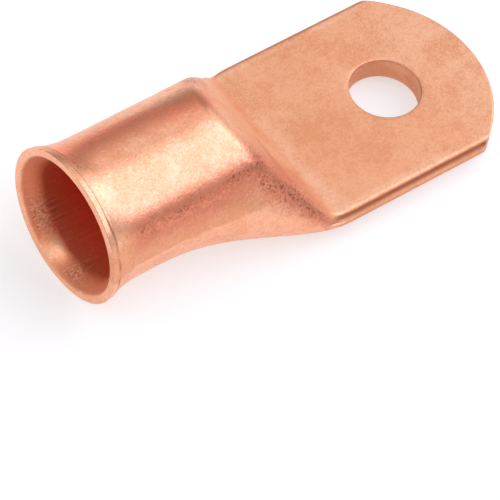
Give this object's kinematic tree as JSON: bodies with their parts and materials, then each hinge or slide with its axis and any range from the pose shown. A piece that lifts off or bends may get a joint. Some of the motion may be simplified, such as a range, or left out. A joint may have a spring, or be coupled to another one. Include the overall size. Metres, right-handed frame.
{
  "type": "cable lug",
  "caption": "Copper tube cable lug with a round barrel, a flared mouth for the cable, a sloped pressed shoulder and a flat palm with a stud hole.",
  "frame": {"origin": "centre of the stud hole at the palm's underside", "axes": "+X along the lug towards the palm's tip, +Z out of the palm's upper face, the barrel lies on the -X side with its axis parallel to X"},
  "size_m": [0.058, 0.025, 0.019],
  "materials": {
    "copper": "satin bare copper, tumbled and lightly pitted"
  },
  "bodies": {
    "root": {"cable_lug": "copper"}
  },
  "joints": []
}
